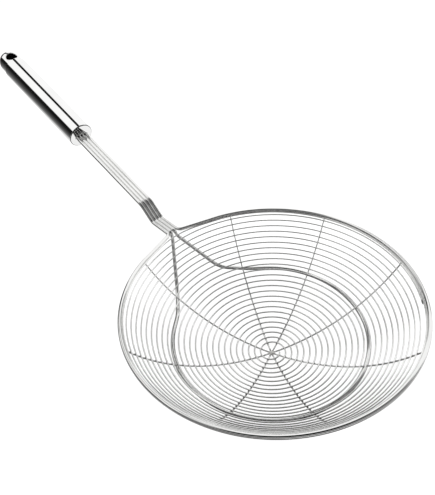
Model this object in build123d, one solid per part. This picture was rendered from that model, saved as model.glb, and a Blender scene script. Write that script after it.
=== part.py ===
from build123d import *
import math
import os

# Spider skimmer: a wire basket on a row of four neck wires and a hollow round grip.
# The rim's plane is z = 0, its centre is the origin, and the grip points along +X.
# Lengths are millimetres, and bearings are degrees from +X about +Z.

# Wire
frame_wire = 2.6
mesh_wire = 0.9
weld_gap = 0.03
row_gap = 0.05

# Basket
rim_diameter = 180.0
bowl_depth = 45.5
hem_tilt = 24.0
hem_front_bend = 46.0
rim_corner_bearing = 21.0
rim_corner_bend = 4.5
spoke_bearings = (22, 70, 114, 157, 202, 249, 291, 334)
centre_weld_diameter = 3.4
centre_weld_height = 1.1
centre_weld_round = 0.4

# Spiral
spiral_turns = 24
spiral_eye = 5.1
spiral_end_bearing = -134.5
arcs_per_turn = 4
samples_per_turn = 24

# Support frame under the basket
support_diameter = 122.0
support_offset = 1.6
support_gap = 0.1
support_open_bearing = 40.0
leg_join_length = 10.0
leg_join_bend = 34.0
leg_knee_advance = 23.2
leg_knee_inset = 20.2
leg_knee_drop = 1.2
leg_knee_bend = 16.0
leg_dip_advance = 0.7
leg_dip_spread = 2.2
leg_dip_depth = 5.6
leg_dip_bend = 8.0
leg_fork_setback = 1.8
leg_fork_bend = 3.6

# Neck
neck_drop = 1.6
neck_shelf = 19.4
step_run = 11.1
step_rise = 9.2
step_foot_bend = 7.0
step_head_bend = 14.0
neck_slope = 15.8
neck_reach = 84.0

# Grip
grip_diameter = 18.8
grip_wall = 1.0
grip_length = 97.0
grip_edge_round = 0.25
wire_tail = 24.0

# Front plug
plug_flange = 0.6
plug_crown = 0.8
plug_spigot = 7.0
plug_spigot_wall = 1.2
slot_gap = 0.12

# End cap
cap_collar = 8.8
cap_inset = 0.8
cap_spigot = 8.0
hang_hole = 8.5
hang_hole_land = 0.75
hang_hole_round = 0.5

spigot_gap = 0.1
overrun = 5.0

# Places that follow from the sizes above
rim_radius = rim_diameter / 2
hem_offset = frame_wire / 2 + mesh_wire / 2 + weld_gap
hem_radius = rim_radius - hem_offset * math.cos(math.radians(hem_tilt))
hem_level = -hem_offset * math.sin(math.radians(hem_tilt))
bowl_radius = (hem_radius ** 2 + bowl_depth ** 2) / (2 * bowl_depth)
bowl_centre = hem_level - bowl_depth + bowl_radius
spoke_radius = bowl_radius + mesh_wire + weld_gap
support_radius = spoke_radius + mesh_wire / 2 + frame_wire / 2 + support_gap
row_pitch = frame_wire + row_gap
inner_row = row_pitch / 2
outer_row = inner_row + row_pitch

corner_angle = math.radians(rim_corner_bearing)
corner_reach = (rim_radius - outer_row * math.sin(corner_angle)) / math.cos(corner_angle)
foot_reach = corner_reach + neck_shelf
head_reach = foot_reach + step_run
slope_angle = math.radians(neck_slope)
head_level = step_rise - neck_drop
grip_front = Vector(
    head_reach + neck_reach * math.cos(slope_angle),
    0,
    head_level + neck_reach * math.sin(slope_angle),
)
grip_frame = Plane(
    origin=grip_front,
    x_dir=(0, 1, 0),
    z_dir=(math.cos(slope_angle), 0, math.sin(slope_angle)),
)
grip_radius = grip_diameter / 2
bore_radius = grip_radius - grip_wall
tail_point = grip_front + grip_frame.z_dir * wire_tail
hang_hole_reach = hang_hole_land + hang_hole / 2


def round_wire(path, thickness):
    """One round wire swept along its path."""
    section = Plane(origin=path @ 0, z_dir=path % 0) * Circle(thickness / 2)
    return sweep(section, path=path)


def biarc(start, start_way, end, end_way):
    """Two arcs that leave start along start_way and reach end along end_way."""
    chord = end - start
    ways = start_way + end_way
    spread = 2 * (1 - start_way.dot(end_way))
    reach = chord.dot(ways)
    if spread > 1e-9:
        arm = (math.sqrt(reach ** 2 + spread * chord.dot(chord)) - reach) / spread
    else:
        arm = chord.dot(chord) / (2 * reach)
    first = start + start_way * arm
    second = end - end_way * arm
    middle = (first + second) * 0.5
    middle_way = (second - first).normalized()
    return [
        Edge.make_tangent_arc(start, start_way, middle),
        Edge.make_tangent_arc(middle, middle_way, end),
    ]


def mirrored(edges):
    """The same edges on the other side of the handle."""
    return [edge.mirror(Plane.XZ) for edge in edges]


def level_arc(radius, level, from_bearing):
    """The round part of a loop, open towards the handle."""
    turn = math.radians(from_bearing)
    near = radius * math.cos(turn)
    side = radius * math.sin(turn)
    return ThreePointArc((near, side, level), (-radius, 0, level), (near, -side, level)).edge()


def neck_points(side):
    """The bends of one neck wire, from inside the grip down to the level shelf."""
    across = Vector(0, side, 0)
    return [
        tail_point + across,
        Vector(head_reach, 0, head_level) + across,
        Vector(foot_reach, 0, -neck_drop) + across,
    ]


def rim_side():
    """Half of the rim wire: neck, corner and the straight run to the round part."""
    touch = (
        rim_radius * math.cos(corner_angle),
        rim_radius * math.sin(corner_angle),
        0,
    )
    points = neck_points(outer_row) + [Vector(corner_reach, outer_row, -neck_drop), Vector(touch)]
    bends = [step_head_bend, step_foot_bend, rim_corner_bend]
    return list(FilletPolyline(*points, radius=bends).edges())


def make_rim_wire():
    side = rim_side()
    loop = level_arc(rim_radius, 0, rim_corner_bearing)
    return round_wire(Wire(side + [loop] + mirrored(side)), frame_wire)


def hem_side():
    """Half of the hem wire's round part, from the butt joint opposite the handle."""
    joint = math.pi - weld_gap / (2 * hem_radius)
    points = []
    for turn in (joint, (joint + corner_angle) / 2, corner_angle):
        points.append((hem_radius * math.cos(turn), hem_radius * math.sin(turn), hem_level))
    return ThreePointArc(*points).edge()


def make_hem_wire():
    """The thin wire that closes the basket's edge, under the inside of the rim wire."""
    half = hem_side()
    touch = half @ 1
    rim_run = rim_radius * math.sin(corner_angle) - outer_row
    apex_drop = neck_drop * touch.Y / rim_run
    apex = Vector(hem_radius / math.cos(corner_angle), 0, hem_level - apex_drop)
    across = Vector(touch.X, -touch.Y, touch.Z)
    front = FilletPolyline(touch, apex, across, radius=hem_front_bend)
    return round_wire(Wire([half] + list(front.edges()) + mirrored([half])), mesh_wire)


def under_basket(reach, side):
    """A point of the support frame's middle line, on the outside of the bowl."""
    out = math.hypot(reach, side)
    return Vector(reach, side, bowl_centre - math.sqrt(support_radius ** 2 - out ** 2))


def support_ring():
    """The round part of the support wire, open towards the handle."""
    turn = math.radians(support_open_bearing)
    ring_out = support_diameter / 2
    near = support_offset + ring_out * math.cos(turn)
    side = ring_out * math.sin(turn)
    far = under_basket(support_offset - ring_out, 0)
    return ThreePointArc(under_basket(near, side), far, under_basket(near, -side)).edge()


def support_side(ring):
    """Half of the support wire: neck, fork, leg, knee and the bend into the ring."""
    fork = Vector(corner_reach + leg_fork_setback, inner_row, -neck_drop)
    dip = Vector(corner_reach - leg_dip_advance, leg_dip_spread, -leg_dip_depth)
    knee = ring @ 0 + Vector(leg_knee_advance, -leg_knee_inset, -leg_knee_drop)
    join = ring @ 0 - (ring % 0) * leg_join_length
    points = neck_points(inner_row) + [fork, dip, knee, join, ring @ 0]
    bends = [step_head_bend, step_foot_bend, leg_fork_bend]
    bends += [leg_dip_bend, leg_knee_bend, leg_join_bend]
    return list(FilletPolyline(*points, radius=bends).edges())


def make_support_wire():
    ring = support_ring()
    side = support_side(ring)
    return round_wire(Wire(side + [ring] + mirrored(side)), frame_wire)


def spoke_point(angle, bearing):
    """A point of a spoke's middle line, at an angle from the bowl's lowest point."""
    out = spoke_radius * math.sin(angle)
    turn = math.radians(bearing)
    return Vector(
        out * math.cos(turn),
        out * math.sin(turn),
        bowl_centre - spoke_radius * math.cos(angle),
    )


def make_spoke(bearing):
    """One spoke, from the weld in the middle up to the underside of the rim wire."""
    inner = (centre_weld_diameter / 2 + weld_gap) / spoke_radius
    rim_away = math.hypot(rim_radius, bowl_centre)
    stop_gap = frame_wire / 2 + weld_gap
    spare = (spoke_radius ** 2 + rim_away ** 2 - stop_gap ** 2) / (2 * spoke_radius * rim_away)
    outer = math.atan2(rim_radius, bowl_centre) - math.acos(spare)
    path = ThreePointArc(
        spoke_point(inner, bearing),
        spoke_point((inner + outer) / 2, bearing),
        spoke_point(outer, bearing),
    )
    return round_wire(path.edge(), mesh_wire)


def make_centre_weld():
    """The flattened weld where the spokes meet at the bowl's lowest point."""
    weld = Cylinder(centre_weld_diameter / 2, centre_weld_height)
    weld = fillet(weld.edges(), centre_weld_round)
    return Pos(0, 0, bowl_centre - spoke_radius) * weld


def spiral_arc(turns_in):
    """Distance along the bowl from its lowest point, turns_in turns in from the outer end."""
    full = bowl_radius * math.asin(hem_radius / bowl_radius) - mesh_wire - weld_gap
    return full - (full - spiral_eye) * turns_in / spiral_turns


def spiral_point(turns_in):
    angle = spiral_arc(turns_in) / bowl_radius
    turn = math.radians(spiral_end_bearing) + 2 * math.pi * turns_in
    out = bowl_radius * math.sin(angle)
    return Vector(
        out * math.cos(turn),
        out * math.sin(turn),
        bowl_centre - bowl_radius * math.cos(angle),
    )


def spiral_way(turns_in):
    """The spiral's direction, winding inwards and down."""
    angle = spiral_arc(turns_in) / bowl_radius
    turn = math.radians(spiral_end_bearing) + 2 * math.pi * turns_in
    closing = (spiral_arc(turns_in + 1) - spiral_arc(turns_in)) / bowl_radius / (2 * math.pi)
    inward = Vector(math.cos(turn), math.sin(turn), 0) * math.cos(angle)
    inward += Vector(0, 0, 1) * math.sin(angle)
    around = Vector(-math.sin(turn), math.cos(turn), 0) * math.sin(angle)
    return (inward * closing + around).normalized()


def spiral_least_gap():
    """Least clear gap between neighbouring turns, measured on points."""
    count = spiral_turns * samples_per_turn
    points = [spiral_point(i / samples_per_turn) for i in range(count + 1)]
    least = bowl_radius
    for i, point in enumerate(points):
        for j in range(i + samples_per_turn // 2, count + 1):
            least = min(least, (points[j] - point).length)
    return least - mesh_wire


def make_spiral_wire():
    edges = []
    for i in range(spiral_turns * arcs_per_turn):
        start = i / arcs_per_turn
        end = (i + 1) / arcs_per_turn
        edges += biarc(spiral_point(start), spiral_way(start), spiral_point(end), spiral_way(end))
    outer_end = spiral_point(0)
    inner_end = spiral_point(spiral_turns)
    edges.insert(0, Line(outer_end - spiral_way(0) * mesh_wire, outer_end).edge())
    edges.append(Line(inner_end, inner_end + spiral_way(spiral_turns) * mesh_wire).edge())
    print("spiral: turns", spiral_turns, "least gap", round(spiral_least_gap(), 2), "mm")
    return round_wire(Wire(edges), mesh_wire)


def make_grip_tube():
    tube = Cylinder(grip_radius, grip_length, align=(Align.CENTER, Align.CENTER, Align.MIN))
    bore = Cylinder(bore_radius, grip_length, align=(Align.CENTER, Align.CENTER, Align.MIN))
    tube = tube - bore
    outer_edges = tube.edges().filter_by(GeomType.CIRCLE).sort_by(lambda edge: edge.radius)[-2:]
    return grip_frame * fillet(outer_edges, grip_edge_round)


def make_front_plug():
    """The crowned plug that closes the grip's front and holds the four wires in its slot."""
    crown_radius = (grip_radius ** 2 + plug_crown ** 2) / (2 * plug_crown)
    crown = Pos(0, 0, crown_radius - plug_crown - plug_flange) * Sphere(crown_radius)
    front = Cylinder(
        grip_radius,
        plug_flange + plug_crown,
        align=(Align.CENTER, Align.CENTER, Align.MAX),
    )
    plug = front & crown
    spigot_radius = bore_radius - spigot_gap
    plug += Cylinder(spigot_radius, plug_spigot, align=(Align.CENTER, Align.CENTER, Align.MIN))
    hollow_radius = spigot_radius - plug_spigot_wall
    plug -= Cylinder(hollow_radius, plug_spigot, align=(Align.CENTER, Align.CENTER, Align.MIN))
    slot_height = frame_wire + 2 * slot_gap
    slot_length = 2 * outer_row + slot_height
    slot = extrude(SlotOverall(slot_length, slot_height), amount=plug_spigot + overrun, both=True)
    return grip_frame * (plug - slot)


def make_end_cap():
    """The rounded cap that closes the grip's rear, with a hole to hang the skimmer by."""
    cap_radius = grip_radius - cap_inset
    cap = Cylinder(cap_radius, cap_collar, align=(Align.CENTER, Align.CENTER, Align.MIN))
    dome = Sphere(cap_radius, arc_size1=0, align=(Align.CENTER, Align.CENTER, Align.MIN))
    cap += Pos(0, 0, cap_collar) * dome
    spigot_radius = bore_radius - spigot_gap
    cap += Cylinder(spigot_radius, cap_spigot, align=(Align.CENTER, Align.CENTER, Align.MAX))
    hollow_radius = spigot_radius - plug_spigot_wall
    cap -= Cylinder(hollow_radius, cap_spigot, align=(Align.CENTER, Align.CENTER, Align.MAX))
    hole = Cylinder(hang_hole / 2, grip_diameter + overrun)
    cap -= Pos(0, 0, hang_hole_reach) * Rot(90, 0, 0) * hole
    hole_wall = cap.faces().filter_by(GeomType.CYLINDER).sort_by(lambda face: face.radius)[0]
    cap = fillet(hole_wall.edges(), hang_hole_round)
    return grip_frame * Pos(0, 0, grip_length) * cap


def build():
    """Every piece of the skimmer by its name."""
    pieces = {
        "grip_tube": make_grip_tube(),
        "front_plug": make_front_plug(),
        "end_cap": make_end_cap(),
        "rim_wire": make_rim_wire(),
        "support_wire": make_support_wire(),
        "hem_wire": make_hem_wire(),
        "spiral_wire": make_spiral_wire(),
        "centre_weld": make_centre_weld(),
    }
    for number, bearing in enumerate(spoke_bearings, start=1):
        pieces[f"spoke_{number}"] = make_spoke(bearing)
    return pieces


os.makedirs("parts", exist_ok=True)
for name, piece in build().items():
    export_step(piece, f"parts/{name}.step")
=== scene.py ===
import math
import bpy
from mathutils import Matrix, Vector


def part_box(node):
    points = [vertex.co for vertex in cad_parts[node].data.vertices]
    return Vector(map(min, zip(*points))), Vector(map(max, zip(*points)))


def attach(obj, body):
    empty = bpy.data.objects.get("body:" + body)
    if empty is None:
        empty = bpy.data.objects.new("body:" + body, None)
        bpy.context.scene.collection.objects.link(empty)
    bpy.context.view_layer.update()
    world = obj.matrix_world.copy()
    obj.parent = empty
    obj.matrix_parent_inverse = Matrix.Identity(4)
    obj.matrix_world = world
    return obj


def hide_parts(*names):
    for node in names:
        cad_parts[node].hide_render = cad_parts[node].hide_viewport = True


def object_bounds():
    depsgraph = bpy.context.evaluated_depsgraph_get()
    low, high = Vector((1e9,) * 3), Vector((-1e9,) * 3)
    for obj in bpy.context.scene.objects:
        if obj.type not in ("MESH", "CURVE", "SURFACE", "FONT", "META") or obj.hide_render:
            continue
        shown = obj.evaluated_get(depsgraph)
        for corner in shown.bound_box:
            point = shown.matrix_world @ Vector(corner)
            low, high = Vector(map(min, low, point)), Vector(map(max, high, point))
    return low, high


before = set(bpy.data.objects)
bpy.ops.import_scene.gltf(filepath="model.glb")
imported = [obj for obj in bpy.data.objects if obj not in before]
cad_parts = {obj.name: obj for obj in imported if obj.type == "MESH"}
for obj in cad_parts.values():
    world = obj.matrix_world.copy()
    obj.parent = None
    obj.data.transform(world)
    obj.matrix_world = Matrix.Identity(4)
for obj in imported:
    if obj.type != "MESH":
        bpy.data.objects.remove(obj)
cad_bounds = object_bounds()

from types import SimpleNamespace

import bmesh
import bpy
from bpy.props import FloatProperty, FloatVectorProperty, IntProperty, PointerProperty
from mathutils import Matrix, Quaternion, Vector

bl_info = {
    "name": "Spider skimmer",
    "version": (1, 0, 0),
    "blender": (4, 5, 0),
    "location": "View3D > Sidebar > Skimmer",
    "description": "A wire skimmer with a wound basket and a polished hollow grip",
    "category": "Add Mesh",
}

# The rim's plane is z = 0, its centre is the origin, and the grip points along +X.
# Sizes are metres and angles are radians, apart from spoke_bearings, the lens and whatever
# has degrees in its name.

FRAME_WIRE = 0.0026
rim_low, rim_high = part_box("rim_wire")
tube_low, tube_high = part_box("grip_tube")
FLOOR_LEVEL = cad_bounds[0].z


def a_length(name, description, default):
    """A size in metres."""
    return FloatProperty(name=name, description=description, default=default, unit="LENGTH")


def an_angle(name, description, default):
    """An angle in radians."""
    return FloatProperty(name=name, description=description, default=default, unit="ROTATION")


def a_place(name, description, default):
    """A point, or a way from one point to another, in metres."""
    return FloatVectorProperty(
        name=name, description=description, default=default, size=3, subtype="TRANSLATION"
    )


def a_colour(name, description, default):
    """A colour in shares of red, green and blue."""
    return FloatVectorProperty(
        name=name,
        description=description,
        default=default,
        size=3,
        subtype="COLOR",
        min=0,
        max=1,
    )


def a_share(name, description, default):
    """A share from 0 to 1."""
    return FloatProperty(
        name=name, description=description, default=default, subtype="FACTOR", min=0, max=1
    )


class SkimmerWire(bpy.types.PropertyGroup):
    """Thicknesses of the two wires, and the gaps between wires that lie together."""

    frame_wire: a_length(
        "Frame wire",
        "Thickness of the wire of the rim, the neck and the support",
        FRAME_WIRE,
    )
    mesh_wire: a_length(
        "Mesh wire", "Thickness of the wire of the spiral, the spokes and the hem", 0.0009
    )
    weld_gap: a_length(
        "Weld gap", "Gap between two mesh wires that are welded together", 0.00003
    )
    row_gap: a_length(
        "Row gap", "Gap between the four wires that lie side by side in the neck", 0.00005
    )


class SkimmerBasket(bpy.types.PropertyGroup):
    """Sizes of the round basket: its rim, hem, spiral, spokes and hub."""

    rim_diameter: a_length(
        "Rim diameter",
        "Diameter of the rim along the middle of its wire",
        rim_high.y - rim_low.y - FRAME_WIRE,
    )
    bowl_depth: a_length(
        "Bowl depth", "Depth of the bowl from the hem down to its lowest point", 0.0455
    )
    hem_tilt: an_angle(
        "Hem tilt",
        "Angle below level at which the hem wire lies against the rim",
        math.radians(24),
    )
    hem_front_bend: a_length(
        "Hem front bend", "Radius of the hem's bend at the handle", 0.046
    )
    corner_bearing: an_angle(
        "Corner bearing",
        "Bearing at which the round part of the rim ends",
        math.radians(21),
    )
    corner_bend: a_length(
        "Corner bend", "Radius of the rim wire's bend from the rim into the neck", 0.0045
    )
    spiral_turns: IntProperty(
        name="Spiral turns",
        description="Turns of the spiral wire from the hem to the middle",
        default=25,
    )
    spiral_eye: a_length(
        "Spiral eye",
        "Distance along the bowl from its lowest point to the spiral's inner end",
        0.0051,
    )
    spiral_bearing: an_angle(
        "Spiral end bearing", "Bearing of the spiral's outer end", math.radians(-134.5)
    )
    spoke_bearings: FloatVectorProperty(
        name="Spoke bearings",
        description="Bearings of the eight spokes, in degrees",
        default=(22, 70, 114, 157, 202, 249, 291, 334),
        size=8,
    )
    hub_diameter: a_length(
        "Hub diameter", "Diameter of the flattened weld where the spokes meet", 0.0034
    )
    hub_height: a_length(
        "Hub height", "Height of the flattened weld where the spokes meet", 0.0011
    )


class SkimmerSupport(bpy.types.PropertyGroup):
    """Sizes of the support ring under the basket and of its two legs."""

    ring_diameter: a_length(
        "Ring diameter", "Diameter of the support ring along the middle of its wire", 0.122
    )
    ring_offset: a_length(
        "Ring offset", "How far the ring's middle lies towards the handle", 0.0016
    )
    ring_gap: a_length(
        "Ring gap", "Gap between the ring and the spokes that are welded to it", 0.0001
    )
    open_bearing: an_angle(
        "Open bearing", "Bearing at which the round part of the ring ends", math.radians(40)
    )
    join_length: a_length(
        "Join length", "Length over which a leg runs into the ring", 0.010
    )
    knee: a_place(
        "Knee",
        "How far a leg's knee lies from the end of the ring: out, across and down",
        (0.0232, -0.0202, -0.0012),
    )
    dip: a_place(
        "Dip",
        "Where a leg dives under the hem, from the rim's corner",
        (-0.0007, 0.0022, -0.0056),
    )
    fork_setback: a_length(
        "Fork setback",
        "How far behind the rim's corner the inner neck wires start to part",
        0.0018,
    )
    fork_bend: a_length("Fork bend", "Radius of a leg's bend at the fork", 0.0036)
    dip_bend: a_length("Dip bend", "Radius of a leg's bend under the hem", 0.008)
    knee_bend: a_length("Knee bend", "Radius of a leg's bend at the knee", 0.016)
    join_bend: a_length("Join bend", "Radius of a leg's bend into the ring", 0.034)


class SkimmerNeck(bpy.types.PropertyGroup):
    """Sizes of the row of four wires between the basket and the grip."""

    drop: a_length(
        "Drop", "How far the neck's level part lies below the rim's plane", 0.0016
    )
    shelf: a_length("Shelf", "Length of the neck's level part", 0.0194)
    step_run: a_length("Step run", "Length of the neck's step along the handle", 0.0111)
    step_rise: a_length("Step rise", "Height of the neck's step", 0.0092)
    foot_bend: a_length("Foot bend", "Radius of the bend at the step's foot", 0.007)
    head_bend: a_length("Head bend", "Radius of the bend at the step's head", 0.014)
    slope: an_angle(
        "Slope", "Angle at which the neck and the grip rise", math.radians(15.8)
    )
    reach: a_length("Reach", "Length of the sloping neck from the step to the grip", 0.084)
    tail: a_length("Tail", "How far the neck wires run into the grip", 0.024)


class SkimmerGrip(bpy.types.PropertyGroup):
    """Sizes of the grip tube, its front plug and its end cap."""

    diameter: a_length(
        "Grip diameter", "Outer diameter of the grip tube", tube_high.y - tube_low.y
    )
    wall: a_length("Grip wall", "Wall thickness of the grip tube", 0.001)
    length: a_length("Grip length", "Length of the grip tube", 0.097)
    edge_round: a_length(
        "Edge round", "Radius of the rounded outer edges of the tube and its plug", 0.00028
    )
    plug_flange: a_length(
        "Plug flange", "Straight edge of the front plug, ahead of the tube", 0.0006
    )
    plug_crown: a_length("Plug crown", "Height of the front plug's crowned face", 0.0008)
    plug_spigot: a_length(
        "Plug spigot", "How far the front plug reaches into the tube", 0.007
    )
    spigot_wall: a_length("Spigot wall", "Wall thickness of both spigots", 0.0012)
    spigot_gap: a_length("Spigot gap", "Gap between a spigot and the tube's bore", 0.0001)
    slot_gap: a_length("Slot gap", "Gap round the neck wires in the plug's slot", 0.00012)
    cap_collar: a_length("Cap collar", "Length of the end cap's straight part", 0.0088)
    cap_inset: a_length(
        "Cap inset", "How far the end cap is stepped in from the tube", 0.0008
    )
    cap_spigot: a_length("Cap spigot", "How far the end cap reaches into the tube", 0.008)
    hang_hole: a_length(
        "Hang hole", "Diameter of the hole that the skimmer hangs by", 0.0085
    )
    hang_hole_land: a_length(
        "Hang hole land", "Distance of the hole's edge from the end of the tube", 0.00075
    )
    hang_hole_round: a_length(
        "Hang hole round", "Radius of the hole's rounded edges", 0.0005
    )


class SkimmerFinish(bpy.types.PropertyGroup):
    """Colours and roughness of the steel."""

    polished_colour: a_colour(
        "Polished steel",
        "Colour of the mirror-polished grip, plug and cap",
        (0.97, 0.97, 0.965),
    )
    polished_roughness: a_share(
        "Polished roughness", "Roughness of the mirror-polished grip, plug and cap", 0.03
    )
    frame_colour: a_colour(
        "Frame wire steel",
        "Colour of the rim, the neck and the support wire",
        (0.92, 0.92, 0.91),
    )
    frame_roughness: a_share(
        "Frame wire roughness", "Roughness of the rim, the neck and the support wire", 0.045
    )
    mesh_colour: a_colour(
        "Mesh wire steel",
        "Colour of the spiral, the spokes and the hem",
        (0.97, 0.97, 0.96),
    )
    mesh_roughness: a_share(
        "Mesh wire roughness", "Roughness of the spiral, the spokes and the hem", 0.07
    )
    weld_colour: a_colour("Weld steel", "Colour of the hub's weld", (0.66, 0.65, 0.63))
    # Painted shade, not a finish of the steel: a near-black colour that darkens the hang
    # hole's bore and the plug's edge.
    painted_shade_colour: a_colour(
        "Dull steel",
        "Colour of the unpolished hang hole and of the plug's edge",
        (0.035, 0.034, 0.033),
    )
    spot_colour: a_colour(
        "Spot weld steel", "Colour of the heat-marked spot welds", (0.16, 0.15, 0.14)
    )
    weld_roughness: a_share("Weld roughness", "Roughness of the welds", 0.36)


class SkimmerStage(bpy.types.PropertyGroup):
    """Place of the camera, and the floor and light around the skimmer."""

    camera_location: a_place(
        "Camera location", "Where the camera stands", (-0.177633, 0.174528, 0.257651)
    )
    camera_target: a_place(
        "Camera target",
        "The point in the rim's plane that the camera looks at",
        (0.059899, -0.009669, 0),
    )
    camera_roll: an_angle(
        "Camera roll",
        "How far the camera is turned about its own axis",
        math.radians(-4.744),
    )
    camera_lens: FloatProperty(
        name="Camera lens",
        description="Focal length in millimetres, for a 36 mm high sensor",
        default=43.606,
        unit="CAMERA",
    )
    floor_width: a_length("Floor width", "Width of the square floor", 8)
    floor_colour: a_colour("Floor colour", "Colour of the floor", (0.9, 0.9, 0.9))
    lamp_power: FloatProperty(
        name="Lamp power",
        description="Power of the soft lamp overhead",
        default=22,
        unit="POWER",
    )
    lamp_height: a_length("Lamp height", "Height of the soft lamp above the rim", 1.3)
    lamp_width: a_length("Lamp width", "Width of the soft lamp overhead", 1.2)


def places(scene):
    """Places that follow from the sizes."""
    wire = scene.skimmer_wire
    basket = scene.skimmer_basket
    support = scene.skimmer_support
    neck = scene.skimmer_neck
    grip = scene.skimmer_grip
    at = SimpleNamespace()
    at.rim_radius = basket.rim_diameter / 2
    hem_offset = wire.frame_wire / 2 + wire.mesh_wire / 2 + wire.weld_gap
    at.hem_radius = at.rim_radius - hem_offset * math.cos(basket.hem_tilt)
    at.hem_level = -hem_offset * math.sin(basket.hem_tilt)
    at.bowl_radius = (at.hem_radius ** 2 + basket.bowl_depth ** 2) / (2 * basket.bowl_depth)
    at.bowl_centre = at.hem_level - basket.bowl_depth + at.bowl_radius
    at.spoke_radius = at.bowl_radius + wire.mesh_wire + wire.weld_gap
    half_wires = (wire.mesh_wire + wire.frame_wire) / 2
    at.support_radius = at.spoke_radius + half_wires + support.ring_gap
    row_pitch = wire.frame_wire + wire.row_gap
    at.inner_row = row_pitch / 2
    at.outer_row = at.inner_row + row_pitch
    corner_side = at.outer_row * math.sin(basket.corner_bearing)
    at.corner_reach = (at.rim_radius - corner_side) / math.cos(basket.corner_bearing)
    at.foot_reach = at.corner_reach + neck.shelf
    at.head_reach = at.foot_reach + neck.step_run
    at.head_level = neck.step_rise - neck.drop
    at.along = Vector((math.cos(neck.slope), 0, math.sin(neck.slope)))
    at.up = Vector((-math.sin(neck.slope), 0, math.cos(neck.slope)))
    at.grip_front = Vector((at.head_reach, 0, at.head_level)) + at.along * neck.reach
    at.tail_point = at.grip_front + at.along * neck.tail
    at.grip_radius = grip.diameter / 2
    at.bore_radius = at.grip_radius - grip.wall
    at.spigot_radius = at.bore_radius - grip.spigot_gap
    at.hollow_radius = at.spigot_radius - grip.spigot_wall
    return at


def grip_matrix(at, along=0):
    """Turns a piece made about the Z axis onto the grip's axis, with its own Y pointing up."""
    side = at.up.cross(at.along)
    turned = Matrix((side, at.up, at.along)).transposed().to_4x4()
    return Matrix.Translation(at.grip_front + at.along * along) @ turned


ARC_STEP = math.radians(4)
STEADY_GAP = 0.001
LEAST_STRAIGHT = 4 * STEADY_GAP


def arc_steps(turn, finer=1):
    """Steps for an arc of that turn."""
    return finer * max(2, math.ceil(abs(turn) / ARC_STEP))


def bent(points, bends):
    """The middle line of a wire through points, with a radius for the bend at each corner."""
    line = [points[0]]
    for corner, radius in enumerate(bends, start=1):
        here = points[corner]
        way_in = (here - points[corner - 1]).normalized()
        way_out = (points[corner + 1] - here).normalized()
        turn = way_in.angle(way_out)
        start = here - way_in * radius * math.tan(turn / 2)
        centre = here + (way_out - way_in).normalized() * radius / math.cos(turn / 2)
        axis = way_in.cross(way_out).normalized()
        steps = arc_steps(turn)
        for step in range(steps + 1):
            line.append(centre + Quaternion(axis, turn * step / steps) @ (start - centre))
    line.append(points[-1])
    return steadied(line)


def steadied(line):
    """The line with a point near both ends of each straight part, for even shading."""
    steady = [line[0]]
    for start, end in zip(line, line[1:]):
        way = end - start
        if way.length > LEAST_STRAIGHT:
            gap = way.normalized() * STEADY_GAP
            steady += [start + gap, end - gap]
        steady.append(end)
    return steady


def mirrored(line):
    """The same line on the other side of the handle, run the other way."""
    return [Vector((point.x, -point.y, point.z)) for point in reversed(line)]


def linked(name, data):
    """A new object in the scene."""
    holder = bpy.data.objects.new(name, data)
    bpy.context.scene.collection.objects.link(holder)
    return holder


def made_mesh(holder):
    """The mesh that an object's curve or modifiers make."""
    bpy.context.view_layer.update()
    evaluated = holder.evaluated_get(bpy.context.evaluated_depsgraph_get())
    mesh = bpy.data.meshes.new_from_object(evaluated)
    if not mesh.polygons:
        raise RuntimeError(f"{holder.name} has no surface")
    return mesh


# Points this near are merged: on a wire as a share of its thickness, and on a turned
# piece in metres.
WIRE_MERGE = 0.001
TURNED_MERGE = 1e-7


def wire_mesh(name, line, thickness, sides, closed=False):
    """One round wire along a line, as a mesh with smooth sides and flat ends."""
    curve = bpy.data.curves.new(name, "CURVE")
    curve.dimensions = "3D"
    curve.bevel_depth = thickness / 2
    # A round bevel of resolution r has 2 * r + 4 sides.
    curve.bevel_resolution = sides // 2 - 2
    curve.use_fill_caps = not closed
    spline = curve.splines.new("POLY")
    spline.points.add(len(line) - 1)
    for target, point in zip(spline.points, line):
        target.co = (*point, 1)
    spline.use_cyclic_u = closed
    holder = linked(name, curve)
    mesh = made_mesh(holder)
    bpy.data.objects.remove(holder)
    bpy.data.curves.remove(curve)
    shape = bmesh.new()
    shape.from_mesh(mesh)
    bmesh.ops.remove_doubles(shape, verts=shape.verts, dist=thickness * WIRE_MERGE)
    bmesh.ops.recalc_face_normals(shape, faces=shape.faces)
    for face in shape.faces:
        # Only the flat ends have more than four corners.
        face.smooth = len(face.verts) <= 4
    shape.to_mesh(mesh)
    shape.free()
    mesh.name = name
    return mesh


def lathed(outline, steps):
    """A closed shape turned about the Z axis from an outline of radius and height."""
    shape = bmesh.new()
    corners = [shape.verts.new((radius, 0, height)) for radius, height in outline]
    sides = [shape.edges.new(pair) for pair in zip(corners, corners[1:])]
    if outline[0][0] > 0 and outline[-1][0] > 0:
        sides.append(shape.edges.new((corners[-1], corners[0])))
    bmesh.ops.spin(
        shape,
        geom=corners + sides,
        cent=(0, 0, 0),
        axis=(0, 0, 1),
        dvec=(0, 0, 0),
        angle=math.tau,
        steps=steps,
        use_merge=True,
        use_duplicate=False,
    )
    bmesh.ops.remove_doubles(shape, verts=shape.verts, dist=TURNED_MERGE)
    bmesh.ops.recalc_face_normals(shape, faces=shape.faces)
    return shape


EDGE_SEGMENTS = 4
RING_SLACK = 1e-4
LEVEL_SLACK = 1e-6


def rounded(shape, edges, offset, segments):
    """Rounds some edges of a shape."""
    bmesh.ops.bevel(
        shape,
        geom=edges,
        offset=offset,
        segments=segments,
        profile=0.5,
        affect="EDGES",
        material=-1,
    )


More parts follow.
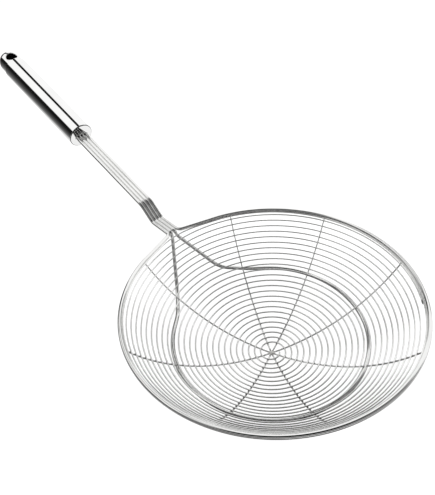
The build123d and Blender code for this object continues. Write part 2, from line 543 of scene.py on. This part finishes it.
def round_edges(shape, radius, offset):
    """Rounds the edges that run round the Z axis at that radius."""
    edges = [
        edge
        for edge in shape.edges
        if all(math.isclose(v.co.xy.length, radius, rel_tol=RING_SLACK) for v in edge.verts)
        and math.isclose(edge.verts[0].co.z, edge.verts[1].co.z, abs_tol=LEVEL_SLACK)
    ]
    rounded(shape, edges, offset, EDGE_SEGMENTS)


def mesh_from(shape, name):
    """Ends a bmesh and gives its mesh, with every face smooth."""
    mesh = bpy.data.meshes.new(name)
    for face in shape.faces:
        face.smooth = True
    shape.to_mesh(mesh)
    shape.free()
    return mesh


def cut(mesh, cutter_shape):
    """The mesh with the cutter's shape taken out of it."""
    body = linked(mesh.name, mesh)
    cutter = linked("cutter", mesh_from(cutter_shape, "cutter"))
    boolean = body.modifiers.new("Cut", "BOOLEAN")
    boolean.operation = "DIFFERENCE"
    boolean.solver = "EXACT"
    boolean.object = cutter
    result = made_mesh(body)
    result.name = mesh.name
    for holder in (body, cutter):
        used = holder.data
        bpy.data.objects.remove(holder)
        bpy.data.meshes.remove(used)
    return result


# For each steel: which colour and roughness it has, the scale of its fine marks along the
# three axes, their depth in metres, and whether they follow the handle's slope.
STEELS = {
    "Polished steel": ("polished_colour", "polished_roughness", (30, 2500, 2500), 4e-7, True),
    "Frame wire steel": ("frame_colour", "frame_roughness", (700, 700, 700), 2e-6, False),
    "Mesh wire steel": ("mesh_colour", "mesh_roughness", (900, 900, 900), 3e-6, False),
    "Weld steel": ("weld_colour", "weld_roughness", (2200, 2200, 2200), 1e-5, False),
    "Spot weld steel": ("spot_colour", "weld_roughness", (2200, 2200, 2200), 1e-5, False),
    # This near-black steel is painted shade, for the hang hole's bore and the plug's edge.
    "Dull steel": ("painted_shade_colour", "weld_roughness", (1800, 1800, 1800), 1e-5, False),
}

# Clouds dim the steel's colour to this share, and marks change its gloss between these
# shares of its roughness. Both spread over the middle of the noise.
CLOUD_SCALE = 60
CLOUD_DETAIL = 4
CLOUD_TINT = 0.94
MARK_DETAIL = 3
MARK_STRENGTH = 0.2
GLOSS_LOW, GLOSS_HIGH = 0.7, 1.3
NOISE_LOW, NOISE_HIGH = 0.3, 0.7


def fed(tree, node, inputs):
    """The node, with each of its inputs set to a value or linked to another's output."""
    for name, value in inputs.items():
        socket = node.inputs[name]
        if isinstance(value, bpy.types.NodeSocket):
            tree.links.new(value, socket)
        else:
            socket.default_value = value
    return node


def added(tree, kind, inputs, **settings):
    """A new shader node with its inputs and settings."""
    node = tree.nodes.new("ShaderNode" + kind)
    for name, value in settings.items():
        setattr(node, name, value)
    return fed(tree, node, inputs)


def steel(name):
    """Bare steel with cloudy brightness, uneven gloss and fine marks."""
    scene = bpy.context.scene
    colour_name, roughness_name, grain, depth, sloped = STEELS[name]
    colour = getattr(scene.skimmer_finish, colour_name)
    roughness = getattr(scene.skimmer_finish, roughness_name)
    slope = scene.skimmer_neck.slope if sloped else 0
    material = bpy.data.materials.new(name)
    material.use_nodes = True
    tree = material.node_tree
    place = added(tree, "TexCoord", {}).outputs["Object"]

    clouds = {"Vector": place, "Scale": CLOUD_SCALE, "Detail": CLOUD_DETAIL}
    cloud = added(tree, "TexNoise", clouds)
    tint = added(tree, "ValToRGB", {"Fac": cloud.outputs["Fac"]})
    low, high = tint.color_ramp.elements
    low.position = NOISE_LOW
    low.color = (*[part * CLOUD_TINT for part in colour], 1)
    high.position = NOISE_HIGH
    high.color = (*colour, 1)

    turn = {"Vector": place, "Rotation": (0, slope, 0), "Scale": grain}
    turned = added(tree, "Mapping", turn).outputs["Vector"]
    marks = added(tree, "TexNoise", {"Vector": turned, "Scale": 1, "Detail": MARK_DETAIL})
    spread = {
        "Value": marks.outputs["Fac"],
        "From Min": NOISE_LOW,
        "From Max": NOISE_HIGH,
        "To Min": roughness * GLOSS_LOW,
        "To Max": roughness * GLOSS_HIGH,
    }
    gloss = added(tree, "MapRange", spread)
    height = {"Height": marks.outputs["Fac"], "Strength": MARK_STRENGTH, "Distance": depth}
    relief = added(tree, "Bump", height)
    look = {
        "Metallic": 1,
        "Base Color": tint.outputs["Color"],
        "Roughness": gloss.outputs["Result"],
        "Normal": relief.outputs["Normal"],
    }
    fed(tree, tree.nodes["Principled BSDF"], look)
    return material


def finish_of(name):
    """The finished material of that name, made the first time it is asked for."""
    return bpy.data.materials.get(name) or steel(name)


# Faces that meet at more than this angle keep a hard edge between them.
SHARP_ANGLE = math.radians(38)


def add_piece(name, mesh, finish, slot, *nodes, weighted=False):
    """Puts a finished mesh into the scene in place of the frame's nodes."""
    piece = linked(name, mesh)
    mesh.materials.clear()
    mesh.materials.append(finish_of(finish))
    if weighted:
        mesh.set_sharp_from_angle(angle=SHARP_ANGLE)
        shading = piece.modifiers.new("Weighted normals", "WEIGHTED_NORMAL")
        shading.keep_sharp = True
    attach(piece, "root")
    if nodes:
        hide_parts(*nodes)


def paint_shade(mesh, faces):
    """Gives some faces of a finished piece painted shade: a near-black steel that darkens the
    hang hole and the plug's edge.
    """
    mesh.materials.append(finish_of("Dull steel"))
    for index in faces:
        mesh.polygons[index].material_index = 1


TURNED_STEPS = 128
DOME_STEPS = 24


class SKIMMER_OT_grip_tube(bpy.types.Operator):
    """Make the polished hollow grip tube"""

    bl_idname = "skimmer.grip_tube"
    bl_label = "Grip tube"

    def execute(self, context):
        grip = context.scene.skimmer_grip
        at = places(context.scene)
        outline = [
            (at.bore_radius, 0),
            (at.grip_radius, 0),
            (at.grip_radius, grip.length),
            (at.bore_radius, grip.length),
        ]
        shape = lathed(outline, TURNED_STEPS)
        round_edges(shape, at.grip_radius, grip.edge_round)
        shape.transform(grip_matrix(at))
        mesh = mesh_from(shape, "polished_tube")
        add_piece(
            "polished_tube", mesh, "Polished steel", "grip_steel", "grip_tube", weighted=True
        )
        return {"FINISHED"}


# How far in from its side the plug's edge gets painted shade, a dark line where it meets the
# tube, in radii of its rounded edge.
PAINTED_SHADE_EDGE = 1.5
SLOT_STEPS = 32


class SKIMMER_OT_front_plug(bpy.types.Operator):
    """Make the crowned front plug with the slot for the neck wires"""

    bl_idname = "skimmer.front_plug"
    bl_label = "Front plug"

    def execute(self, context):
        scene = context.scene
        grip = scene.skimmer_grip
        at = places(scene)
        crown_radius = (at.grip_radius ** 2 + grip.plug_crown ** 2) / (2 * grip.plug_crown)
        crown_turn = math.asin(at.grip_radius / crown_radius)
        crown_centre = crown_radius - grip.plug_crown - grip.plug_flange
        outline = []
        for step in range(DOME_STEPS + 1):
            turn = crown_turn * step / DOME_STEPS
            radius = crown_radius * math.sin(turn)
            outline.append((radius, crown_centre - crown_radius * math.cos(turn)))
        outline += [
            (at.grip_radius, 0),
            (at.spigot_radius, 0),
            (at.spigot_radius, grip.plug_spigot),
            (at.hollow_radius, grip.plug_spigot),
            (at.hollow_radius, 0),
            (0, 0),
        ]
        shape = lathed(outline, TURNED_STEPS)
        round_edges(shape, at.grip_radius, grip.edge_round)
        mesh = cut(mesh_from(shape, "crowned_plug"), self.slot(scene, at))
        # Faces of the plug's rounded edge, which get painted shade: a near-black line at the
        # seam with the tube.
        flat_radius = at.grip_radius - PAINTED_SHADE_EDGE * grip.edge_round
        edge = [
            face.index
            for face in mesh.polygons
            if all(mesh.vertices[v].co.xy.length > flat_radius for v in face.vertices)
        ]
        mesh.transform(grip_matrix(at))
        add_piece(
            "crowned_plug", mesh, "Polished steel", "plug_steel", "front_plug", weighted=True
        )
        paint_shade(mesh, edge)
        return {"FINISHED"}

    def slot(self, scene, at):
        """The round-ended slot for the row of four wires, as a cutter longer than the plug."""
        half_height = scene.skimmer_wire.frame_wire / 2 + scene.skimmer_grip.slot_gap
        spigot = scene.skimmer_grip.plug_spigot
        shape = bmesh.new()
        bmesh.ops.create_circle(
            shape, cap_ends=True, segments=SLOT_STEPS, radius=half_height
        )
        for vert in shape.verts:
            vert.co.x += math.copysign(at.outer_row, vert.co.x)
            vert.co.z = -spigot
        made = bmesh.ops.extrude_face_region(shape, geom=list(shape.faces))
        moved = [item for item in made["geom"] if isinstance(item, bmesh.types.BMVert)]
        bmesh.ops.translate(shape, verts=moved, vec=(0, 0, 3 * spigot))
        bmesh.ops.recalc_face_normals(shape, faces=shape.faces)
        return shape


HOLE_STEPS = 64
HOLE_SEGMENTS = 5
HOLE_SLACK = 0.01


class SKIMMER_OT_end_cap(bpy.types.Operator):
    """Make the rounded end cap with the hang hole"""

    bl_idname = "skimmer.end_cap"
    bl_label = "End cap"

    def execute(self, context):
        grip = context.scene.skimmer_grip
        at = places(context.scene)
        cap_radius = at.grip_radius - grip.cap_inset
        outline = [
            (0, 0),
            (at.hollow_radius, 0),
            (at.hollow_radius, -grip.cap_spigot),
            (at.spigot_radius, -grip.cap_spigot),
            (at.spigot_radius, 0),
            (cap_radius, 0),
        ]
        for step in range(DOME_STEPS + 1):
            turn = math.pi / 2 * step / DOME_STEPS
            height = grip.cap_collar + cap_radius * math.sin(turn)
            outline.append((cap_radius * math.cos(turn), height))
        shape = lathed(outline, TURNED_STEPS)
        hole_radius = grip.hang_hole / 2
        hole_reach = grip.hang_hole_land + hole_radius
        cutter = bmesh.new()
        bmesh.ops.create_cone(
            cutter,
            cap_ends=True,
            segments=HOLE_STEPS,
            radius1=hole_radius,
            radius2=hole_radius,
            depth=2 * grip.diameter,
            matrix=Matrix.Translation((0, 0, hole_reach))
            @ Matrix.Rotation(math.pi / 2, 4, "X"),
        )
        mesh = cut(mesh_from(shape, "hanging_cap"), cutter)
        shape = bmesh.new()
        shape.from_mesh(mesh)
        bpy.data.meshes.remove(mesh)
        centre = Vector((0, hole_reach))
        edges = [
            edge
            for edge in shape.edges
            if all(
                math.isclose((v.co.xz - centre).length, hole_radius, rel_tol=HOLE_SLACK)
                for v in edge.verts
            )
            and edge.calc_face_angle(0) > SHARP_ANGLE
        ]
        rounded(shape, edges, grip.hang_hole_round, HOLE_SEGMENTS)
        shape.faces.index_update()
        # Faces of the hole's bore, which get painted shade so that the hole shows dark.
        bore_radius = hole_radius * (1 + HOLE_SLACK)
        bore = [
            face.index
            for face in shape.faces
            if all((v.co.xz - centre).length < bore_radius for v in face.verts)
        ]
        shape.transform(grip_matrix(at, grip.length))
        mesh = mesh_from(shape, "hanging_cap")
        add_piece(
            "hanging_cap", mesh, "Polished steel", "cap_steel", "end_cap", weighted=True
        )
        paint_shade(mesh, bore)
        return {"FINISHED"}


def neck_points(at, scene, side):
    """The bends of one neck wire, from inside the grip down to the level shelf."""
    across = Vector((0, side, 0))
    return [
        at.tail_point + across,
        Vector((at.head_reach, 0, at.head_level)) + across,
        Vector((at.foot_reach, 0, -scene.skimmer_neck.drop)) + across,
    ]


def round_part(radius, level, from_bearing):
    """Points of a level loop that is open towards the handle."""
    turn = math.tau - 2 * from_bearing
    steps = arc_steps(turn, finer=2)
    line = []
    for step in range(steps + 1):
        bearing = from_bearing + turn * step / steps
        line.append(Vector((radius * math.cos(bearing), radius * math.sin(bearing), level)))
    return line


FRAME_WIRE_SIDES = 20
MESH_WIRE_SIDES = 12


class SKIMMER_OT_rim_wire(bpy.types.Operator):
    """Make the rim wire, which is also the two outer wires of the neck"""

    bl_idname = "skimmer.rim_wire"
    bl_label = "Rim wire"

    def execute(self, context):
        scene = context.scene
        at = places(scene)
        neck = scene.skimmer_neck
        basket = scene.skimmer_basket
        loop = round_part(at.rim_radius, 0, basket.corner_bearing)
        corner = Vector((at.corner_reach, at.outer_row, -neck.drop))
        points = neck_points(at, scene, at.outer_row) + [corner, loop[0]]
        side = bent(points, (neck.head_bend, neck.foot_bend, basket.corner_bend))
        line = side + loop[1:-1] + mirrored(side)
        thickness = scene.skimmer_wire.frame_wire
        mesh = wire_mesh("rim_and_neck", line, thickness, FRAME_WIRE_SIDES)
        add_piece("rim_and_neck", mesh, "Frame wire steel", "frame_wire_steel", "rim_wire")
        return {"FINISHED"}


class SKIMMER_OT_support_wire(bpy.types.Operator):
    """Make the support wire: the inner wires of the neck, the legs and the ring"""

    bl_idname = "skimmer.support_wire"
    bl_label = "Support wire"

    def execute(self, context):
        scene = context.scene
        at = places(scene)
        neck = scene.skimmer_neck
        support = scene.skimmer_support
        ring = self.ring(at, support)
        fork = Vector((at.corner_reach + support.fork_setback, at.inner_row, -neck.drop))
        dip = Vector((at.corner_reach, 0, 0)) + Vector(support.dip)
        knee = ring[0] + Vector(support.knee)
        way = (ring[1] - ring[0]).normalized()
        join = ring[0] - way * support.join_length
        points = neck_points(at, scene, at.inner_row) + [fork, dip, knee, join, ring[0]]
        bends = (
            neck.head_bend,
            neck.foot_bend,
            support.fork_bend,
            support.dip_bend,
            support.knee_bend,
            support.join_bend,
        )
        side = bent(points, bends)
        line = side + ring[1:-1] + mirrored(side)
        thickness = scene.skimmer_wire.frame_wire
        mesh = wire_mesh("support_frame", line, thickness, FRAME_WIRE_SIDES)
        add_piece(
            "support_frame", mesh, "Frame wire steel", "frame_wire_steel", "support_wire"
        )
        return {"FINISHED"}

    def ring(self, at, support):
        """Points of the round part, on the outside of the bowl."""
        line = []
        for point in round_part(support.ring_diameter / 2, 0, support.open_bearing):
            reach = point.x + support.ring_offset
            out = math.hypot(reach, point.y)
            level = at.bowl_centre - math.sqrt(at.support_radius ** 2 - out ** 2)
            line.append(Vector((reach, point.y, level)))
        return line


class SKIMMER_OT_hem_wire(bpy.types.Operator):
    """Make the hem wire that closes the basket's edge under the rim"""

    bl_idname = "skimmer.hem_wire"
    bl_label = "Hem wire"

    def execute(self, context):
        scene = context.scene
        at = places(scene)
        basket = scene.skimmer_basket
        bearing = basket.corner_bearing
        loop = round_part(at.hem_radius, at.hem_level, bearing)
        rim_run = at.rim_radius * math.sin(bearing) - at.outer_row
        apex_drop = scene.skimmer_neck.drop * loop[0].y / rim_run
        apex = Vector((at.hem_radius / math.cos(bearing), 0, at.hem_level - apex_drop))
        front = bent([loop[-1], apex, loop[0]], [basket.hem_front_bend])
        line = loop + front[1:-1]
        thickness = scene.skimmer_wire.mesh_wire
        mesh = wire_mesh("edge_wire", line, thickness, MESH_WIRE_SIDES, closed=True)
        add_piece("edge_wire", mesh, "Mesh wire steel", "mesh_wire_steel", "hem_wire")
        return {"FINISHED"}


def on_bowl(at, radius, angle, bearing):
    """A point of a sphere about the bowl's centre, at an angle from its lowest point."""
    out = radius * math.sin(angle)
    level = at.bowl_centre - radius * math.cos(angle)
    return Vector((out * math.cos(bearing), out * math.sin(bearing), level))


def spiral_angle(at, scene, turns_in):
    """Angle from the bowl's lowest point, that many turns in from the spiral's outer end."""
    wire = scene.skimmer_wire
    basket = scene.skimmer_basket
    full = at.bowl_radius * math.asin(at.hem_radius / at.bowl_radius)
    full -= wire.mesh_wire + wire.weld_gap
    share = turns_in / basket.spiral_turns
    return (full - (full - basket.spiral_eye) * share) / at.bowl_radius


POINTS_PER_TURN = 100


class SKIMMER_OT_spiral_wire(bpy.types.Operator):
    """Make the spiral wire of the mesh"""

    bl_idname = "skimmer.spiral_wire"
    bl_label = "Spiral wire"

    def execute(self, context):
        scene = context.scene
        at = places(scene)
        basket = scene.skimmer_basket
        line = []
        for step in range(basket.spiral_turns * POINTS_PER_TURN + 1):
            turns_in = step / POINTS_PER_TURN
            bearing = basket.spiral_bearing + math.tau * turns_in
            angle = spiral_angle(at, scene, turns_in)
            line.append(on_bowl(at, at.bowl_radius, angle, bearing))
        thickness = scene.skimmer_wire.mesh_wire
        mesh = wire_mesh("mesh_spiral", line, thickness, MESH_WIRE_SIDES)
        add_piece("mesh_spiral", mesh, "Mesh wire steel", "mesh_wire_steel", "spiral_wire")
        return {"FINISHED"}


def spoke_ends(at, scene):
    """Angles from the bowl's lowest point at which a spoke starts and ends."""
    wire = scene.skimmer_wire
    inner = (scene.skimmer_basket.hub_diameter / 2 + wire.weld_gap) / at.spoke_radius
    rim_away = math.hypot(at.rim_radius, at.bowl_centre)
    stop_gap = wire.frame_wire / 2 + wire.weld_gap
    sides = at.spoke_radius ** 2 + rim_away ** 2 - stop_gap ** 2
    spare = sides / (2 * at.spoke_radius * rim_away)
    outer = math.atan2(at.rim_radius, at.bowl_centre) - math.acos(spare)
    return inner, outer


class SKIMMER_OT_spokes(bpy.types.Operator):
    """Make the eight spokes under the spiral"""

    bl_idname = "skimmer.spokes"
    bl_label = "Spokes"

    def execute(self, context):
        scene = context.scene
        at = places(scene)
        inner, outer = spoke_ends(at, scene)
        steps = arc_steps(outer - inner, finer=3)
        thickness = scene.skimmer_wire.mesh_wire
        for number, degrees in enumerate(scene.skimmer_basket.spoke_bearings, start=1):
            line = []
            for step in range(steps + 1):
                angle = inner + (outer - inner) * step / steps
                line.append(on_bowl(at, at.spoke_radius, angle, math.radians(degrees)))
            name = f"mesh_spoke_{number}"
            mesh = wire_mesh(name, line, thickness, MESH_WIRE_SIDES)
            add_piece(name, mesh, "Mesh wire steel", "mesh_wire_steel", f"spoke_{number}")
        return {"FINISHED"}


# The hub's outline from its foot to its top, in shares of its radius and half height.
HUB_OUTLINE = (
    (0, -1),
    (0.72, -0.94),
    (0.93, -0.66),
    (1, -0.2),
    (1, 0.2),
    (0.93, 0.66),
    (0.72, 0.94),
    (0, 1),
)
HUB_STEPS = 32

# Half sizes of a spot weld along the spoke, along the spiral and through the mesh, in
# thicknesses of the mesh wire, and its steps round and up.
BEAD_SHARES = (0.68, 0.8, 0.4)
BEAD_STEPS = (8, 4)


class SKIMMER_OT_welds(bpy.types.Operator):
    """Make the hub where the spokes meet and the spot welds of the mesh"""

    bl_idname = "skimmer.welds"
    bl_label = "Hub and spot welds"

    def execute(self, context):
        scene = context.scene
        at = places(scene)
        hub = self.hub(scene, at)
        add_piece("hub_weld", hub, "Weld steel", "weld_steel", "centre_weld", weighted=True)
        add_piece("spot_welds", self.spots(scene, at), "Spot weld steel", "weld_steel")
        return {"FINISHED"}

    def hub(self, scene, at):
        """The flattened weld, turned from a low barrel outline."""
        basket = scene.skimmer_basket
        radius = basket.hub_diameter / 2
        half = basket.hub_height / 2
        outline = [(radius * out, half * up) for out, up in HUB_OUTLINE]
        shape = lathed(outline, HUB_STEPS)
        shape.transform(Matrix.Translation((0, 0, at.bowl_centre - at.spoke_radius)))
        return mesh_from(shape, "hub_weld")

    def spots(self, scene, at):
        """A flat bead at every crossing of the spiral and a spoke."""
        basket = scene.skimmer_basket
        thickness = scene.skimmer_wire.mesh_wire
        shape = bmesh.new()
        between = (at.bowl_radius + at.spoke_radius) / 2
        for degrees in basket.spoke_bearings:
            bearing = math.radians(degrees)
            first = ((bearing - basket.spiral_bearing) / math.tau) % 1
            for turn in range(basket.spiral_turns):
                angle = spiral_angle(at, scene, first + turn)
                centre = on_bowl(at, between, angle, bearing)
                self.bead(shape, centre, bearing, angle, thickness)
        return mesh_from(shape, "spot_welds")

    def bead(self, shape, centre, bearing, angle, thickness):
        """One bead, flat against the bowl and a little longer along the spiral."""
        across, up = BEAD_STEPS
        matrix = (
            Matrix.Translation(centre)
            @ Matrix.Rotation(bearing, 4, "Z")
            @ Matrix.Rotation(-angle, 4, "Y")
            @ Matrix.Diagonal((*[thickness * share for share in BEAD_SHARES], 1))
        )
        bmesh.ops.create_uvsphere(
            shape, u_segments=across, v_segments=up, radius=1, matrix=matrix
        )


def graded(tree, value, stops):
    """A grey that follows a value, from stops of value and brightness in rising order."""
    low = stops[0][0]
    high = stops[-1][0]
    share = added(tree, "MapRange", {"Value": value, "From Min": low, "From Max": high})
    ramp = added(tree, "ValToRGB", {"Fac": share.outputs["Result"]})
    elements = ramp.color_ramp.elements
    while len(elements) < len(stops):
        elements.new(1)
    for element, (place, grey) in zip(elements, stops):
        element.position = (place - low) / (high - low)
        element.color = (grey, grey, grey, 1)
    return ramp.outputs["Color"]


def mixed(tree, factor, first, second):
    """The first colour where the factor is 0, and the second where it is 1."""
    # By number, because its inputs for numbers and for colours share their names.
    colours = {0: factor, 6: first, 7: second}
    return added(tree, "Mix", colours, data_type="RGBA").outputs[2]


def distance_along(tree, vector, way):
    """How far a vector goes along a way."""
    return added(tree, "VectorMath", {0: vector, 1: way}, operation="DOT_PRODUCT").outputs[1]


def product(tree, first, second):
    """Two greys multiplied."""
    return added(tree, "VectorMath", {0: first, 1: second}, operation="MULTIPLY").outputs[0]


# Brightness of the white wall round the handle's direction, in degrees from straight up
# towards +Y: its near end falls off into the dark.
WALL_STOPS = (
    (-180, 1.0),
    (47, 1.0),
    (50.5, 0.01),
    (68, 0.006),
    (80, 0.023),
    (93, 0.056),
    (110, 0.127),
    (131, 0.26),
    (169, 0.75),
    (180, 0.75),
)

# A narrow dark flag before the wall, in the same degrees, and how far it counts by the
# share of the way that goes along +X.
FLAG_STOPS = (
    (-180, 1.0),
    (-22, 1.0),
    (-21, 0.01),
    (-4, 0.01),
    (-3, 1.0),
    (180, 1.0),
)
FLAG_REACH = (
    (-1, 0.0),
    (0.402, 0.0),
    (0.412, 1.0),
    (1, 1.0),
)

# Dark cards in front of the wall: the way to each one's middle, and the cosine of the
# angle that it spans from there.
CARDS = (
    ((-0.22, -0.262, 0.94), 0.907),
    ((0, 0, 1), 0.965),
    ((0.173, -0.981, 0.087), 0.951),
    ((0.995, 0.052, 0.087), 0.94),
)
# Half of each card's soft edge, as a difference of cosines, and the cards' brightness.
CARD_EDGE = 0.007
CARD_GREY = 0.01

# Brightness of the studio's unlit side, by height from -1 below to 1 above.
ROOM_STOPS = (
    (-1, 0.5),
    (-0.2, 0.1),
    (0, 0.03),
    (0.42, 0.03),
    (0.47, 0.45),
    (0.7, 0.45),
    (0.75, 0.03),
    (0.9, 0.01),
    (1, 0.005),
)

# Brightness of the floor in the reflections, by the distance in metres along FLOOR_WAY.
FLOOR_STOPS = (
    (-1, 1.0),
    (0.08, 0.92),
    (0.184, 0.75),
    (0.294, 0.22),
    (0.496, 0.11),
    (1, 0.06),
)
FLOOR_WAY = (0.4, 1, 0)

# Share of the floor's brightness in the reflections, by the distance in metres from the
# shade's middle: it is dark under and before the basket.
SHADE_STOPS = (
    (0.0, 0.05),
    (0.13, 0.08),
    (0.155, 0.7),
    (0.17, 1.0),
)
SHADE_CENTRE = (-0.06, 0.035, FLOOR_LEVEL)

# Which way the wall stands, and how far along it the unlit side gives way to the wall.
WALL_WAY = (0.866, -0.5, 0)
WALL_EDGE = (-0.1, 0)

WHITE = (1, 1, 1, 1)

# Share of plain white in the floor that the camera sees: the rest keeps the shadow.
FLOOR_WHITE = 0.8
FLOOR_ROUGHNESS = 0.9

SENSOR_HEIGHT = 36
CLIP_START = 0.01


class SKIMMER_OT_stage(bpy.types.Operator):
    """Make the floor, the light and the camera"""

    bl_idname = "skimmer.stage"
    bl_label = "Stage"

    def execute(self, context):
        scene = context.scene
        stage = scene.skimmer_stage
        self.floor(scene, stage)
        self.world(scene)
        self.lamp(scene, stage)
        self.camera(scene, stage)
        scene.view_settings.view_transform = "Standard"
        return {"FINISHED"}

    def floor(self, scene, stage):
        """A pale floor that shows as white and keeps a faint shadow."""
        shape = bmesh.new()
        bmesh.ops.create_grid(
            shape,
            x_segments=1,
            y_segments=1,
            size=stage.floor_width / 2,
            matrix=Matrix.Translation((0, 0, FLOOR_LEVEL)),
        )
        floor = linked("floor", mesh_from(shape, "floor"))
        material = bpy.data.materials.new("Pale floor")
        material.use_nodes = True
        tree = material.node_tree
        look = {"Base Color": (*stage.floor_colour, 1), "Roughness": FLOOR_ROUGHNESS}
        shader = fed(tree, tree.nodes["Principled BSDF"], look)
        place = added(tree, "TexCoord", {}).outputs["Object"]
        far = graded(tree, distance_along(tree, place, FLOOR_WAY), FLOOR_STOPS)
        away = added(tree, "VectorMath", {0: place, 1: SHADE_CENTRE}, operation="DISTANCE")
        dimmed = product(tree, far, graded(tree, away.outputs["Value"], SHADE_STOPS))
        rays = added(tree, "LightPath", {}).outputs
        shown = mixed(tree, rays["Is Glossy Ray"], WHITE, dimmed)
        white = added(tree, "Emission", {"Color": shown})
        direct = added(
            tree, "Math", {0: rays["Is Camera Ray"], 1: FLOOR_WHITE}, operation="MULTIPLY"
        )
        part = added(
            tree, "Math", {0: direct.outputs[0], 1: rays["Is Glossy Ray"]}, operation="MAXIMUM"
        )
        parts = {0: part.outputs[0], 1: shader.outputs["BSDF"], 2: white.outputs["Emission"]}
        mix = added(tree, "MixShader", parts)
        fed(tree, tree.nodes["Material Output"], {"Surface": mix.outputs["Shader"]})
        floor.data.materials.append(material)

    def world(self, scene):
        """White for the camera, and a white wall with dark cards for the metal."""
        world = bpy.data.worlds.new("Studio")
        scene.world = world
        world.use_nodes = True
        tree = world.node_tree
        way = added(tree, "TexCoord", {}).outputs["Generated"]
        split = added(tree, "SeparateXYZ", {"Vector": way}).outputs
        turn = added(tree, "Math", {0: split["Y"], 1: split["Z"]}, operation="ARCTAN2")
        degrees = added(tree, "Math", {0: turn.outputs[0]}, operation="DEGREES").outputs[0]
        band = graded(tree, degrees, WALL_STOPS)
        strip = graded(tree, degrees, FLAG_STOPS)
        reach = graded(tree, split["X"], FLAG_REACH)
        wall = product(tree, band, mixed(tree, reach, WHITE, strip))
        for middle, span in CARDS:
            stops = (
                (-1, 1.0),
                (span - CARD_EDGE, 1.0),
                (span + CARD_EDGE, CARD_GREY),
                (1, CARD_GREY),
            )
            card = graded(tree, distance_along(tree, way, middle), stops)
            wall = product(tree, wall, card)
        room = graded(tree, split["Z"], ROOM_STOPS)
        start, end = WALL_EDGE
        towards = distance_along(tree, way, WALL_WAY)
        blend = {"Value": towards, "From Min": start, "From Max": end}
        edge = added(tree, "MapRange", blend, interpolation_type="SMOOTHSTEP")
        studio = mixed(tree, edge.outputs["Result"], room, wall)
        glossy = added(tree, "LightPath", {}).outputs["Is Glossy Ray"]
        shown = mixed(tree, glossy, WHITE, studio)
        fed(tree, tree.nodes["Background"], {"Color": shown, "Strength": 1})

    def lamp(self, scene, stage):
        """One wide soft lamp overhead."""
        light = bpy.data.lights.new("overhead", "AREA")
        light.shape = "DISK"
        light.size = stage.lamp_width
        light.energy = stage.lamp_power
        lamp = linked("overhead", light)
        lamp.location = (0, 0, stage.lamp_height)
        lamp.visible_glossy = False

    def camera(self, scene, stage):
        """The camera at the photograph's viewing angle."""
        lens = bpy.data.cameras.new("camera")
        lens.sensor_fit = "VERTICAL"
        lens.sensor_height = SENSOR_HEIGHT
        lens.lens = stage.camera_lens
        lens.clip_start = CLIP_START
        camera = linked("camera", lens)
        location = Vector(stage.camera_location)
        look = (Vector(stage.camera_target) - location).to_track_quat("-Z", "Y").to_matrix()
        roll = Matrix.Rotation(stage.camera_roll, 3, "Z")
        camera.matrix_world = Matrix.Translation(location) @ (look @ roll).to_4x4()
        scene.camera = camera


class SKIMMER_PT_panel(bpy.types.Panel):
    """The steps that build the skimmer"""

    bl_idname = "SKIMMER_PT_panel"
    bl_label = "Spider skimmer"
    bl_space_type = "VIEW_3D"
    bl_region_type = "UI"
    bl_category = "Skimmer"

    def draw(self, context):
        for step in STEPS:
            self.layout.operator(step.bl_idname)


GROUPS = {
    "skimmer_wire": SkimmerWire,
    "skimmer_basket": SkimmerBasket,
    "skimmer_support": SkimmerSupport,
    "skimmer_neck": SkimmerNeck,
    "skimmer_grip": SkimmerGrip,
    "skimmer_finish": SkimmerFinish,
    "skimmer_stage": SkimmerStage,
}

STEPS = (
    SKIMMER_OT_grip_tube,
    SKIMMER_OT_front_plug,
    SKIMMER_OT_end_cap,
    SKIMMER_OT_rim_wire,
    SKIMMER_OT_support_wire,
    SKIMMER_OT_hem_wire,
    SKIMMER_OT_spiral_wire,
    SKIMMER_OT_spokes,
    SKIMMER_OT_welds,
    SKIMMER_OT_stage,
)


def register():
    for group in GROUPS.values():
        bpy.utils.register_class(group)
    for name, group in GROUPS.items():
        setattr(bpy.types.Scene, name, PointerProperty(type=group))
    for step in STEPS:
        bpy.utils.register_class(step)
    bpy.utils.register_class(SKIMMER_PT_panel)


def unregister():
    bpy.utils.unregister_class(SKIMMER_PT_panel)
    for step in reversed(STEPS):
        bpy.utils.unregister_class(step)
    for name in GROUPS:
        delattr(bpy.types.Scene, name)
    for group in reversed(GROUPS.values()):
        bpy.utils.unregister_class(group)


def main():
    register()
    bpy.ops.skimmer.grip_tube()
    bpy.ops.skimmer.front_plug()
    bpy.ops.skimmer.end_cap()
    bpy.ops.skimmer.rim_wire()
    bpy.ops.skimmer.support_wire()
    bpy.ops.skimmer.hem_wire()
    bpy.ops.skimmer.spiral_wire()
    bpy.ops.skimmer.spokes()
    bpy.ops.skimmer.welds()
    bpy.ops.skimmer.stage()


if __name__ == "__main__":
    main()
